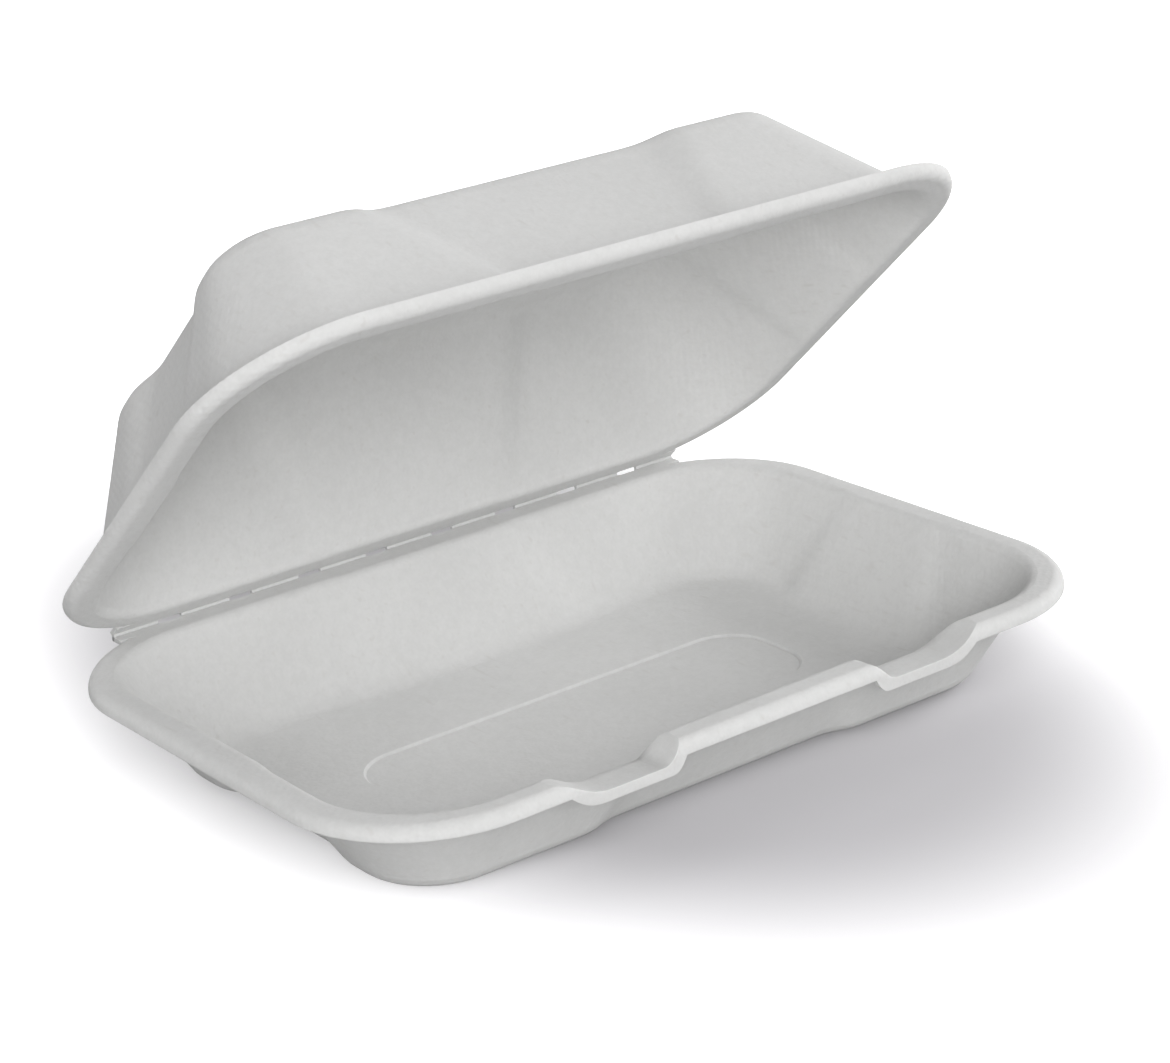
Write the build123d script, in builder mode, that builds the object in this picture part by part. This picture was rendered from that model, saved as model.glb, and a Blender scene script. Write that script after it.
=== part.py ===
# Moulded sugarcane-pulp snack box: a shallow tray and a deeper lid, moulded as one
# sheet and joined by a perforated fold along the back.
# Millimetres. X runs along the fold, +Y is the fold side, Z is up, and the origin is
# the middle of the face the tray stands on. The lid is shown part open.
import os

from build123d import *

# Driving dimensions
rim_length = 182.0  # over the lip, along the fold
rim_width = 124.0  # over the lip, fold side to front
rim_corner = 29.0  # plan radius of the lip's outer edge
sheet = 1.0  # thickness of the pulp
tray_height = 22.5  # table to the top of the rim
lid_depth = 35.0  # top of the rim to the outside of the lid's flat top
draft_run = 0.555  # sideways run of a wall for each millimetre of its depth
corner_taper = 0.6  # how fast the corners tighten with the run of the walls
rim_land = 5.5  # lip edge to the mouth of the hollow
lip_drop = 2.7  # how far the rolled lip hangs below the rim
lip_round = 2.4  # radius rolled over the lip
mouth_round = 2.5  # radius from the rim's top into the wall
floor_round = 6.0  # inside radius between a wall and the floor
long_panel = 38.0  # width at the rim of the recessed panels in the long walls
short_panel = 20.0  # width at the rim of the recessed panels in the short walls
panel_spread = 0.28  # how far each side of a panel spreads for each millimetre of depth
panel_taper = 0.09  # extra run of a panel for each millimetre of depth
panel_lead = 0.5  # step of a panel at the mouth
panel_blend = 8.0  # length at the rim of the soft step at each side of a panel
panel_ease = 0.17  # how much longer that step grows for each millimetre of depth
base_length = 100.0  # panel pressed into the middle of the tray's floor
base_width = 28.0
base_corner = 10.0
base_press = 0.5  # how far that panel is pressed in
notch_inner = 22.0  # middle of the front to where a dip in its rim begins
notch_outer = 55.0  # middle of the front to where that dip ends
notch_steep = 7.0  # run of a dip's side next to the middle
notch_gentle = 15.0  # run of a dip's outer side
notch_depth = 3.6  # rim to a dip's bottom, at the lip's edge
notch_slope = 0.05  # fall of a dip's bottom for each millimetre inwards
notch_round = 5.0  # radius from a dip's bottom into the wall
notch_lip = 2.2  # height of the small lip along a dip
hinge_length = 146.0  # length of the fold
hinge_reach = 0.5  # lip edge to the fold
slit_count = 8
slit_pitch = 17.1
slit_length = 5.6
slit_width = 2.2  # across the fold, half of it in each half of the box
lid_open = 41.5  # angle of the lid above its closed place

# Derived sizes
fold_y = rim_width / 2 + hinge_reach
lid_top = tray_height + lid_depth
mouth_length = rim_length - 2 * rim_land
mouth_width = rim_width - 2 * rim_land
mouth_corner = rim_corner - rim_land
hinge_from = rim_width / 2 - rim_land + mouth_round  # where the flat of the hinge begins
hinge_middle = (hinge_from + fold_y) / 2
rim_depth = notch_depth + notch_lip + 2 * sheet  # how far the rim reaches down, dips and all
# lip edge to where a dip's bottom meets the inside of the wall, and the height there
dip_meet = (rim_land + sheet + draft_run * notch_depth) / (1 - draft_run * notch_slope)
dip_level = tray_height - notch_depth - notch_slope * dip_meet


def outline(depth, inset):
    """Section of a hollow at a depth from its rim, drawn in by inset, each side softly recessed."""
    run = draft_run * depth + inset
    half_x = mouth_length / 2 - run
    half_y = mouth_width / 2 - run
    corner = mouth_corner - corner_taper * run
    step = panel_lead + panel_taper * depth
    blend = panel_blend + panel_ease * depth
    # each panel spreads towards the floor but stops short of the corners
    long_half = min(long_panel / 2 + panel_spread * depth, half_x - corner - blend - 1)
    short_half = min(short_panel / 2 + panel_spread * depth, half_y - corner - blend - 1)
    with BuildSketch() as section:
        with BuildLine():
            Line((0, half_y - step), (long_half, half_y - step))
            Bezier(
                (long_half, half_y - step),
                (long_half + blend / 2, half_y - step),
                (long_half + blend / 2, half_y),
                (long_half + blend, half_y),
            )
            Line((long_half + blend, half_y), (half_x - corner, half_y))
            RadiusArc((half_x - corner, half_y), (half_x, half_y - corner), corner)
            Line((half_x, half_y - corner), (half_x, short_half + blend))
            Bezier(
                (half_x, short_half + blend),
                (half_x, short_half + blend / 2),
                (half_x - step, short_half + blend / 2),
                (half_x - step, short_half),
            )
            Line((half_x - step, short_half), (half_x - step, 0))
            mirror(about=Plane.XZ)
            mirror(about=Plane.YZ)
        make_face()
    return section.sketch


def dip_profile(grow):
    """Front view of the right dip from its bottom up, its sides and bottom moved out by grow."""
    high = notch_depth + 0.4
    inner = notch_inner - grow
    outer = notch_outer + grow
    inner_foot = inner + notch_steep
    outer_foot = outer - notch_gentle
    inner_half = (inner + inner_foot) / 2
    outer_half = (outer + outer_foot) / 2
    with BuildSketch() as profile:
        with BuildLine():
            Line((inner, high + 3), (inner, high))
            Bezier((inner, high), (inner_half, high), (inner_half, -grow), (inner_foot, -grow))
            Line((inner_foot, -grow), (outer_foot, -grow))
            Bezier((outer_foot, -grow), (outer_half, -grow), (outer_half, high), (outer, high))
            Line((outer, high), (outer, high + 3))
            Line((outer, high + 3), (inner, high + 3))
        make_face()
    return profile.sketch


def dip_pair(grow):
    """Both dips as solids, swept in from the lip's edge and rounded down into the wall."""
    with BuildPart() as pair:
        with BuildLine(Plane.YZ) as bottom:
            FilletPolyline(
                (-rim_width / 2 - 3 * sheet, tray_height - notch_depth + 3 * sheet * notch_slope),
                (-rim_width / 2 + dip_meet, dip_level),
                (-rim_width / 2 + dip_meet + draft_run * notch_round + 0.3, dip_level - notch_round),
                radius=notch_round,
            )
        with BuildSketch(Plane(bottom.line @ 0, x_dir=(1, 0, 0), z_dir=-(bottom.line % 0))):
            add(dip_profile(grow))
        sweep()
        mirror(about=Plane.YZ)
    return pair.part


# Dips in the tray's front rim, and the same one sheet larger for the pulp below them
dip_hollows = dip_pair(0)
dip_skins = dip_pair(sheet)

# Outside of the tray's hollow, with the flat floor that it stands on
with BuildPart() as tray_outside:
    with BuildSketch(Plane.XY):
        add(outline(tray_height, 0))
    with BuildSketch(Plane.XY.offset(tray_height)):
        add(outline(0, 0))
    loft(ruled=True)
    fillet(tray_outside.edges().group_by(Axis.Z)[0], floor_round + sheet)

# Inside of the tray, with the panel pressed into its floor
with BuildPart() as tray_hollow:
    with BuildSketch(Plane.XY.offset(sheet)):
        add(outline(tray_height - sheet, sheet))
    with BuildSketch(Plane.XY.offset(tray_height)):
        add(outline(0, sheet))
    loft(ruled=True)
    fillet(tray_hollow.edges().group_by(Axis.Z)[0], floor_round)
    with BuildSketch(Plane.XY.offset(sheet - base_press)):
        RectangleRounded(base_length, base_width, base_corner)
    extrude(amount=base_press, taper=-45)

# Space under the tray's rolled lip, less the sheet that carries the rim down through the dips
with BuildPart() as tray_lip_space:
    with BuildSketch(Plane.XY.offset(tray_height - rim_depth)):
        RectangleRounded(rim_length - 2 * sheet, rim_width - 2 * sheet, rim_corner - sheet)
    extrude(amount=rim_depth - sheet)
    fillet(tray_lip_space.edges().group_by(Axis.Z)[-1], lip_round - sheet)
    with BuildSketch(Plane.XY.offset(tray_height - rim_depth)):
        RectangleRounded(rim_length + 2 * sheet, rim_width + 2 * sheet, rim_corner + sheet)
    extrude(amount=rim_depth - lip_drop)
    add(tray_outside.part, mode=Mode.SUBTRACT)
    add(dip_skins, mode=Mode.SUBTRACT)
    with BuildSketch(Plane.XZ.offset(rim_width / 2 + sheet)):
        with Locations((0, tray_height - notch_depth)):
            add(dip_profile(notch_lip))
            mirror(about=Plane.YZ)
    extrude(amount=-2.4 * sheet, mode=Mode.SUBTRACT)

# Tray: rolled lip, hollow, dips and hinge flat
with BuildPart() as tray:
    with BuildSketch(Plane.XY.offset(tray_height)):
        RectangleRounded(rim_length, rim_width, rim_corner)
    extrude(amount=sheet - rim_depth)
    add(tray_outside.part)
    add(tray_hollow.part, mode=Mode.SUBTRACT)
    fillet(tray.faces().sort_by(Axis.Z)[-1].inner_wires()[0].edges(), mouth_round)
    fillet(tray.faces().sort_by(Axis.Z)[-1].outer_wire().edges(), lip_round)
    add(tray_lip_space.part, mode=Mode.SUBTRACT)
    add(dip_hollows, mode=Mode.SUBTRACT)
    # flat of the hinge, with the lip left off along it
    with BuildSketch(Plane.XY.offset(tray_height - rim_depth)):
        with Locations((0, rim_width / 2)):
            Rectangle(hinge_length, 2 * (rim_land - sheet))
    extrude(amount=rim_depth - sheet, mode=Mode.SUBTRACT)
    with BuildSketch(Plane.XY.offset(tray_height)):
        with Locations((0, hinge_middle)):
            Rectangle(hinge_length, fold_y - hinge_from)
    extrude(amount=-sheet)
    # slits through the fold
    with BuildSketch(Plane.XY.offset(tray_height)):
        with Locations((0, fold_y)):
            with GridLocations(slit_pitch, 0, slit_count, 1):
                SlotOverall(slit_length, slit_width)
    extrude(amount=-sheet, mode=Mode.SUBTRACT)

# Outside of the lid's hollow, in its closed place
with BuildPart() as lid_outside:
    with BuildSketch(Plane.XY.offset(tray_height)):
        add(outline(0, 0))
    with BuildSketch(Plane.XY.offset(lid_top)):
        add(outline(lid_depth, 0))
    loft(ruled=True)
    fillet(lid_outside.edges().group_by(Axis.Z)[-1], floor_round + sheet)

# Inside of the lid
with BuildPart() as lid_hollow:
    with BuildSketch(Plane.XY.offset(tray_height)):
        add(outline(0, sheet))
    with BuildSketch(Plane.XY.offset(lid_top - sheet)):
        add(outline(lid_depth - sheet, sheet))
    loft(ruled=True)
    fillet(lid_hollow.edges().group_by(Axis.Z)[-1], floor_round)

# Space behind the lid's rolled lip
with BuildPart() as lid_lip_space:
    with BuildSketch(Plane.XY.offset(tray_height + lip_drop)):
        RectangleRounded(rim_length - 2 * sheet, rim_width - 2 * sheet, rim_corner - sheet)
    extrude(amount=sheet - lip_drop)
    fillet(lid_lip_space.edges().group_by(Axis.Z)[0], lip_round - sheet)
    add(lid_outside.part, mode=Mode.SUBTRACT)

# Lid: rolled lip, hollow and hinge flat, built closed
with BuildPart() as lid_closed:
    with BuildSketch(Plane.XY.offset(tray_height)):
        RectangleRounded(rim_length, rim_width, rim_corner)
    extrude(amount=lip_drop)
    add(lid_outside.part)
    add(lid_hollow.part, mode=Mode.SUBTRACT)
    fillet(lid_closed.faces().sort_by(Axis.Z)[0].inner_wires()[0].edges(), mouth_round)
    fillet(lid_closed.faces().sort_by(Axis.Z)[0].outer_wire().edges(), lip_round)
    add(lid_lip_space.part, mode=Mode.SUBTRACT)
    # flat of the hinge, with the lip left off along it
    with BuildSketch(Plane.XY.offset(tray_height + sheet)):
        with Locations((0, rim_width / 2)):
            Rectangle(hinge_length, 2 * (rim_land - sheet))
    extrude(amount=lip_drop - sheet, mode=Mode.SUBTRACT)
    with BuildSketch(Plane.XY.offset(tray_height)):
        with Locations((0, hinge_middle)):
            Rectangle(hinge_length, fold_y - hinge_from)
    extrude(amount=sheet)
    # slits through the fold
    with BuildSketch(Plane.XY.offset(tray_height)):
        with Locations((0, fold_y)):
            with GridLocations(slit_pitch, 0, slit_count, 1):
                SlotOverall(slit_length, slit_width)
    extrude(amount=sheet, mode=Mode.SUBTRACT)

# Lid swung open about the fold
fold = Axis((0, fold_y, tray_height), (1, 0, 0))
with BuildPart() as lid:
    add(lid_closed.part.rotate(fold, -lid_open))

tray.part.label = "tray"
lid.part.label = "lid"
os.makedirs("parts", exist_ok=True)
export_step(tray.part, "parts/tray.step")
export_step(lid.part, "parts/lid.step")
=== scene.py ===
import math

import bpy
from mathutils import Matrix, Vector


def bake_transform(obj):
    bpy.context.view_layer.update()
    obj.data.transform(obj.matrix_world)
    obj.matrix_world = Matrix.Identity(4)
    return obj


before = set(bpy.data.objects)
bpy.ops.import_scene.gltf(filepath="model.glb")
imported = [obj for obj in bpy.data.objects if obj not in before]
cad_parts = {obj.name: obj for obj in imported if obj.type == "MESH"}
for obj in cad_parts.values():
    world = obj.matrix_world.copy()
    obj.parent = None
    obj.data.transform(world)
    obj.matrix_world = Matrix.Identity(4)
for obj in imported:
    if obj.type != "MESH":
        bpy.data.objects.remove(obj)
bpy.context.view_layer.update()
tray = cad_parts["tray"]
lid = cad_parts["lid"]

# Tray: the lower half of the box, pressed from wet sugarcane pulp between two moulds.
# It dries to a matt pale grey with a fine felted grain and slight clouds. The wire screen in
# the mould leaves a faint woven print towards the ends.


def add_node(tree, kind, name, **values):
    """Adds a shader node with plain properties set on it."""
    node = tree.nodes.new(kind)
    node.name = name
    for key, value in values.items():
        setattr(node, key, value)
    return node


def add_noise(tree, name, place, scale, detail):
    """Adds noise of a scale given per metre, read at a place."""
    noise = add_node(tree, "ShaderNodeTexNoise", name)
    noise.inputs["Scale"].default_value = scale
    noise.inputs["Detail"].default_value = detail
    tree.links.new(place, noise.inputs["Vector"])
    return noise.outputs["Fac"]


def add_maths(tree, name, operation, *values):
    """Adds a maths node whose inputs are numbers or other nodes' outputs."""
    maths = add_node(tree, "ShaderNodeMath", name, operation=operation)
    for socket, value in zip(maths.inputs, values):
        if isinstance(value, (int, float)):
            socket.default_value = value
        else:
            tree.links.new(value, socket)
    return maths.outputs[0]


# Felted fibres: a fine grain, clumps of a millimetre or two, soft clouds where the pulp is
# denser, and here and there a darker strand of cane
felt = bpy.data.node_groups.new("felted fibres", "ShaderNodeTree")
felt.interface.new_socket("Place", in_out="INPUT", socket_type="NodeSocketVector")
felt.interface.new_socket("Tone", in_out="OUTPUT", socket_type="NodeSocketFloat")
felt.interface.new_socket("Strands", in_out="OUTPUT", socket_type="NodeSocketFloat")
felt.interface.new_socket("Relief", in_out="OUTPUT", socket_type="NodeSocketFloat")
felt_place = add_node(felt, "NodeGroupInput", "place").outputs["Place"]
felt_out = add_node(felt, "NodeGroupOutput", "out")
grain = add_noise(felt, "grain", felt_place, 1500.0, 0.0)
clumps = add_noise(felt, "clumps", felt_place, 520.0, 1.0)
clouds = add_noise(felt, "clouds", felt_place, 42.0, 0.0)
# strands are long and thin, so their noise is stretched
stretch = add_node(felt, "ShaderNodeMapping", "stretch")
stretch.inputs["Rotation"].default_value = (0.4, 0.7, 0.5)
stretch.inputs["Scale"].default_value = (1.0, 0.25, 1.0)
felt.links.new(felt_place, stretch.inputs["Vector"])
strand_noise = add_noise(felt, "strand noise", stretch.outputs["Vector"], 900.0, 0.0)
strand_cut = add_node(felt, "ShaderNodeMapRange", "strand cut")
strand_cut.inputs["From Min"].default_value = 0.7
strand_cut.inputs["From Max"].default_value = 0.95
felt.links.new(strand_noise, strand_cut.inputs["Value"])
clump_tone = add_maths(felt, "clump tone", "MULTIPLY", clumps, 0.4)
soft_tone = add_maths(felt, "soft tone", "MULTIPLY_ADD", clouds, 0.35, clump_tone)
tone = add_maths(felt, "tone", "MULTIPLY_ADD", grain, 0.25, soft_tone)
felt.links.new(tone, felt_out.inputs["Tone"])
felt.links.new(strand_cut.outputs["Result"], felt_out.inputs["Strands"])
clump_relief = add_maths(felt, "clump relief", "MULTIPLY", clumps, 0.6)
relief = add_maths(felt, "relief", "MULTIPLY_ADD", grain, 0.4, clump_relief)
felt.links.new(relief, felt_out.inputs["Relief"])

# Screen print: two crossed sets of fine ridges about a millimetre and a half apart, clearest
# towards the ends of the box and pressed flat elsewhere
print_pitch = 0.0015
weave = bpy.data.node_groups.new("screen print", "ShaderNodeTree")
weave.interface.new_socket("Place", in_out="INPUT", socket_type="NodeSocketVector")
weave.interface.new_socket("Relief", in_out="OUTPUT", socket_type="NodeSocketFloat")
weave_place = add_node(weave, "NodeGroupInput", "place").outputs["Place"]
weave_out = add_node(weave, "NodeGroupOutput", "out")
ends = add_node(weave, "ShaderNodeVectorMath", "ends", operation="DOT_PRODUCT")
ends.inputs[1].default_value = (1.0, 0.0, 0.0)
weave.links.new(weave_place, ends.inputs[0])
clear = add_node(weave, "ShaderNodeMapRange", "clear")
clear.inputs["From Min"].default_value = 0.05
clear.inputs["From Max"].default_value = 0.075
clear.inputs["To Min"].default_value = 0.1
from_middle = add_maths(weave, "from middle", "ABSOLUTE", ends.outputs["Value"])
weave.links.new(from_middle, clear.inputs["Value"])
ridge_turn = 2 * math.pi / print_pitch
ridges = []
for name, direction in (("level", (0.0, 0.0, 1.0)), ("upright", (0.64, -0.77, 0.0))):
    along = add_node(weave, "ShaderNodeVectorMath", name + " lay", operation="DOT_PRODUCT")
    along.inputs[1].default_value = direction
    weave.links.new(weave_place, along.inputs[0])
    turns = add_maths(weave, name + " turns", "MULTIPLY", along.outputs["Value"], ridge_turn)
    ridges.append(add_maths(weave, name + " ridges", "SINE", turns))
crossed = add_maths(weave, "crossed", "ADD", *ridges)
printing = add_maths(weave, "print", "MULTIPLY", crossed, clear.outputs["Result"])
weave.links.new(printing, weave_out.inputs["Relief"])


def pulp_material(name, light, dark, strand, print_depth):
    """Matt moulded pulp, with the screen's print pressed in to a given depth."""
    pulp = bpy.data.materials.new(name)
    pulp.use_nodes = True
    tree = pulp.node_tree
    shader = tree.nodes["Principled BSDF"]
    shader.inputs["Specular IOR Level"].default_value = 0.2
    # the thin sheet lets a little light through
    shader.inputs["Subsurface Weight"].default_value = 1.0
    shader.inputs["Subsurface Radius"].default_value = (1.0, 1.0, 1.0)
    shader.inputs["Subsurface Scale"].default_value = 0.001
    place = add_node(tree, "ShaderNodeTexCoord", "place").outputs["Object"]
    fibres = add_node(tree, "ShaderNodeGroup", "fibres", node_tree=felt)
    screen = add_node(tree, "ShaderNodeGroup", "screen", node_tree=weave)
    shade = add_node(tree, "ShaderNodeValToRGB", "shade")
    shade.color_ramp.elements[0].position = 0.36
    shade.color_ramp.elements[0].color = (*dark, 1.0)
    shade.color_ramp.elements[1].position = 0.64
    shade.color_ramp.elements[1].color = (*light, 1.0)
    streak = add_node(tree, "ShaderNodeMix", "streak", data_type="RGBA")
    streak.inputs["B"].default_value = (*strand, 1.0)
    rough = add_node(tree, "ShaderNodeMapRange", "rough")
    rough.inputs["To Min"].default_value = 0.84
    rough.inputs["To Max"].default_value = 0.98
    felted = add_node(tree, "ShaderNodeBump", "felted")
    felted.inputs["Strength"].default_value = 0.5
    felted.inputs["Distance"].default_value = 0.0002
    printed = add_node(tree, "ShaderNodeBump", "printed")
    printed.inputs["Strength"].default_value = 0.5
    printed.inputs["Distance"].default_value = print_depth
    link = tree.links.new
    link(place, fibres.inputs["Place"])
    link(place, screen.inputs["Place"])
    link(fibres.outputs["Tone"], shade.inputs["Fac"])
    link(fibres.outputs["Strands"], streak.inputs["Factor"])
    link(shade.outputs["Color"], streak.inputs["A"])
    link(streak.outputs["Result"], shader.inputs["Base Color"])
    link(fibres.outputs["Tone"], rough.inputs["Value"])
    link(rough.outputs["Result"], shader.inputs["Roughness"])
    link(screen.outputs["Relief"], printed.inputs["Height"])
    link(fibres.outputs["Relief"], felted.inputs["Height"])
    link(printed.outputs["Normal"], felted.inputs["Normal"])
    link(felted.outputs["Normal"], shader.inputs["Normal"])
    return pulp


pale_pulp = (0.62, 0.62, 0.615)
dense_pulp = (0.585, 0.585, 0.58)
cane_strand = (0.565, 0.56, 0.55)
tray.data.materials.clear()
tray_print = 0.00002
tray.data.materials.append(pulp_material("tray pulp", pale_pulp, dense_pulp, cane_strand, tray_print))

# Lid: the upper half, pressed in the same mould and of the same sheet, a little deeper
# than the tray. It is joined to the tray only by the fold at the back, and its corners
# show the screen's print more clearly.
lid_opening = math.radians(41.5)
lid.data.materials.clear()
lid_print = 0.00003
lid.data.materials.append(pulp_material("lid pulp", pale_pulp, dense_pulp, cane_strand, lid_print))

# Fold: the strip of pulp between the halves, cut by eight slits so that it bends easily.
# Between the slits the sheet runs on round the outside of the bend, as nine bridges
# bent to the lid's opening.
fold_place = Vector((0.0, 0.0625, 0.0225))
bridge_sheet = 0.00096
slit_pitch = 0.0171
slit_length = 0.0056
fold_end = 0.073
slit_middles = [(k - 3.5) * slit_pitch for k in range(8)]
slit_ends = [middle + side * slit_length / 2 for middle in slit_middles for side in (-1, 1)]
bridge_edges = [-fold_end, *slit_ends, fold_end]
bridges = []
for left, right in zip(bridge_edges[0::2], bridge_edges[1::2]):
    bpy.ops.object.select_all(action="DESELECT")
    bpy.ops.mesh.primitive_plane_add(size=1.0)
    bridge = bpy.context.object
    # the plane becomes the cut end of the tray's strip, and is spun round the fold to the lid's
    bridge.data.transform(
        Matrix.Translation(fold_place + Vector(((left + right) / 2, 0.0, -bridge_sheet / 2)))
        @ Matrix.Rotation(math.pi / 2, 4, "X")
        @ Matrix.Diagonal((right - left, bridge_sheet, 1.0, 1.0))
    )
    bpy.ops.object.mode_set(mode="EDIT")
    bpy.ops.mesh.select_all(action="SELECT")
    bpy.ops.mesh.spin(steps=10, angle=math.pi - lid_opening, center=fold_place, axis=(1.0, 0.0, 0.0))
    bpy.ops.mesh.select_all(action="SELECT")
    bpy.ops.mesh.remove_doubles(threshold=1e-6)
    bpy.ops.mesh.normals_make_consistent(inside=False)
    bpy.ops.object.mode_set(mode="OBJECT")
    bpy.ops.object.shade_smooth_by_angle(angle=math.radians(40))
    bridges.append(bridge)
bpy.ops.object.select_all(action="DESELECT")
for bridge in bridges:
    bridge.select_set(True)
bpy.context.view_layer.objects.active = bridges[0]
bpy.ops.object.join()
fold_bridges = bpy.context.object
fold_bridges.name = "fold_bridges"
fold_print = 0.00001
fold_bridges.data.materials.append(
    pulp_material("fold pulp", pale_pulp, dense_pulp, cane_strand, fold_print)
)
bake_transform(fold_bridges)

# Floor: a wide sheet of pale paper that the box stands on. Seen directly it is white away from the box;
# near the box it is darkened by the box's own soft shadow and by a painted shadow pool.
bpy.ops.object.select_all(action="DESELECT")
bpy.ops.mesh.primitive_plane_add(size=6.0)
floor = bpy.context.object
floor.name = "floor"
paper = bpy.data.materials.new("floor paper")
paper.use_nodes = True
paper_tree = paper.node_tree
paper_shader = paper_tree.nodes["Principled BSDF"]
paper_shader.inputs["Roughness"].default_value = 0.95
paper_shader.inputs["Specular IOR Level"].default_value = 0.1
paper_shader.inputs["Emission Color"].default_value = (1.0, 1.0, 1.0, 1.0)


def seen_directly(tree):
    """One for what is seen straight, in a gloss or through glass, and nought for the light itself."""
    ray = add_node(tree, "ShaderNodeLightPath", "path").outputs
    mirrored = add_maths(tree, "mirrored", "MAXIMUM", ray["Is Camera Ray"], ray["Is Glossy Ray"])
    return add_maths(tree, "seen", "MAXIMUM", mirrored, ray["Is Transmission Ray"])


# the paper is greyer to the light that it throws back on the box than to the eye. Near the box the eye sees
# it grey and faintly purple, a painted shadow pool round and in front of the box, and away from it plain
# white
seen = seen_directly(paper_tree)
# the grey, faintly purple colour seen by the eye shows as the painted shadow pool where the glow is low
paper_grey = add_node(paper_tree, "ShaderNodeMix", "paper grey", data_type="RGBA")
paper_grey.inputs["A"].default_value = (0.4, 0.4, 0.4, 1.0)
paper_grey.inputs["B"].default_value = (0.56, 0.55, 0.57, 1.0)
paper_tree.links.new(seen, paper_grey.inputs["Factor"])
paper_tree.links.new(paper_grey.outputs["Result"], paper_shader.inputs["Base Color"])
paper_place = add_node(paper_tree, "ShaderNodeTexCoord", "paper place").outputs["Object"]
# painted shadow pool: an ellipse round and in front of the box where the floor seen by the eye is kept grey
painted_shadow_pool = add_node(paper_tree, "ShaderNodeMapping", "painted shadow pool", vector_type="TEXTURE")
painted_shadow_pool.inputs["Location"].default_value = (0.015, 0.03, 0.0)
painted_shadow_pool.inputs["Scale"].default_value = (0.09, 0.15, 1.0)
paper_tree.links.new(paper_place, painted_shadow_pool.inputs["Vector"])
away = add_node(paper_tree, "ShaderNodeVectorMath", "away", operation="LENGTH")
paper_tree.links.new(painted_shadow_pool.outputs["Vector"], away.inputs[0])
# painted shadow: the white glow is cut low near the box and rises to full white further away
painted_shadow_falloff = add_node(paper_tree, "ShaderNodeMapRange", "painted_shadow_falloff", interpolation_type="SMOOTHSTEP")
painted_shadow_falloff.inputs["From Min"].default_value = 0.7
painted_shadow_falloff.inputs["From Max"].default_value = 1.35
painted_shadow_falloff.inputs["To Min"].default_value = 0.05
painted_shadow_falloff.inputs["To Max"].default_value = 1.0
paper_tree.links.new(away.outputs["Value"], painted_shadow_falloff.inputs["Value"])
glow = add_maths(paper_tree, "glow", "MULTIPLY", seen, painted_shadow_falloff.outputs["Result"])
paper_tree.links.new(glow, paper_shader.inputs["Emission Strength"])
floor.data.materials.append(paper)

# Studio light: a pale room, a soft lamp in front and above, a low one at the front left, one at
# the right and a weak one behind. The room itself is white where it is seen.
room = bpy.data.worlds.new("pale room")
room.use_nodes = True
room_tree = room.node_tree
room_light = add_maths(room_tree, "room light", "MULTIPLY_ADD", seen_directly(room_tree), 0.8, 0.2)
room_tree.links.new(room_light, room_tree.nodes["Background"].inputs["Strength"])
room_tree.nodes["Background"].inputs["Color"].default_value = (1.0, 1.0, 1.0, 1.0)
bpy.context.scene.world = room


lamp_aim = Vector((0.0, 0.0, 0.04))
lamp_distance = 1.3
lamp_size = 0.8


def soft_lamp(name, azimuth, elevation, power):
    """A square soft lamp that faces the box from a direction in degrees, 0 being the front."""
    turn, rise = math.radians(azimuth), math.radians(elevation)
    outward = Vector(
        (math.sin(turn) * math.cos(rise), -math.cos(turn) * math.cos(rise), math.sin(rise))
    )
    bpy.ops.object.light_add(type="AREA", location=lamp_aim + lamp_distance * outward)
    lamp = bpy.context.object
    lamp.name = name
    lamp.data.shape = "SQUARE"
    lamp.data.size = lamp_size
    lamp.data.energy = power
    lamp.rotation_euler = (-outward).to_track_quat("-Z", "Y").to_euler()


soft_lamp("front lamp", -22.0, 33.0, 9.3)
soft_lamp("low lamp", -40.0, 10.0, 11.0)
soft_lamp("right lamp", 85.0, 16.0, 13.0)
soft_lamp("back lamp", 180.0, 28.0, 4.5)

# Camera: a long lens from the front left, a little above the box, with the slight roll of the
# picture. Its focal length is given in pixels of a picture 1170 wide.
focal_pixels = 3128.9
picture_width = 1170.0
camera_distance = 0.68564
camera_data = bpy.data.cameras.new("camera")
camera_data.sensor_fit = "HORIZONTAL"
camera_data.sensor_width = 36.0
camera_data.lens = camera_data.sensor_width * focal_pixels / picture_width
camera = bpy.data.objects.new("camera", camera_data)
bpy.context.scene.collection.objects.link(camera)
azimuth, elevation, roll = math.radians(-35.94), math.radians(20.51), math.radians(-4.14)
look_at = Vector((0.03561, 0.04599, 0.019))
back = Vector(
    (math.sin(azimuth) * math.cos(elevation), -math.cos(azimuth) * math.cos(elevation), math.sin(elevation))
)
level = (-back).cross(Vector((0.0, 0.0, 1.0))).normalized()
upright = level.cross(-back)
across = math.cos(roll) * level + math.sin(roll) * upright
upward = -math.sin(roll) * level + math.cos(roll) * upright
facing = Matrix((across, upward, back)).transposed().to_4x4()
camera.matrix_world = Matrix.Translation(look_at + back * camera_distance) @ facing
camera_data.clip_start = 0.01
bpy.context.scene.camera = camera

bpy.context.scene.view_settings.view_transform = "Standard"
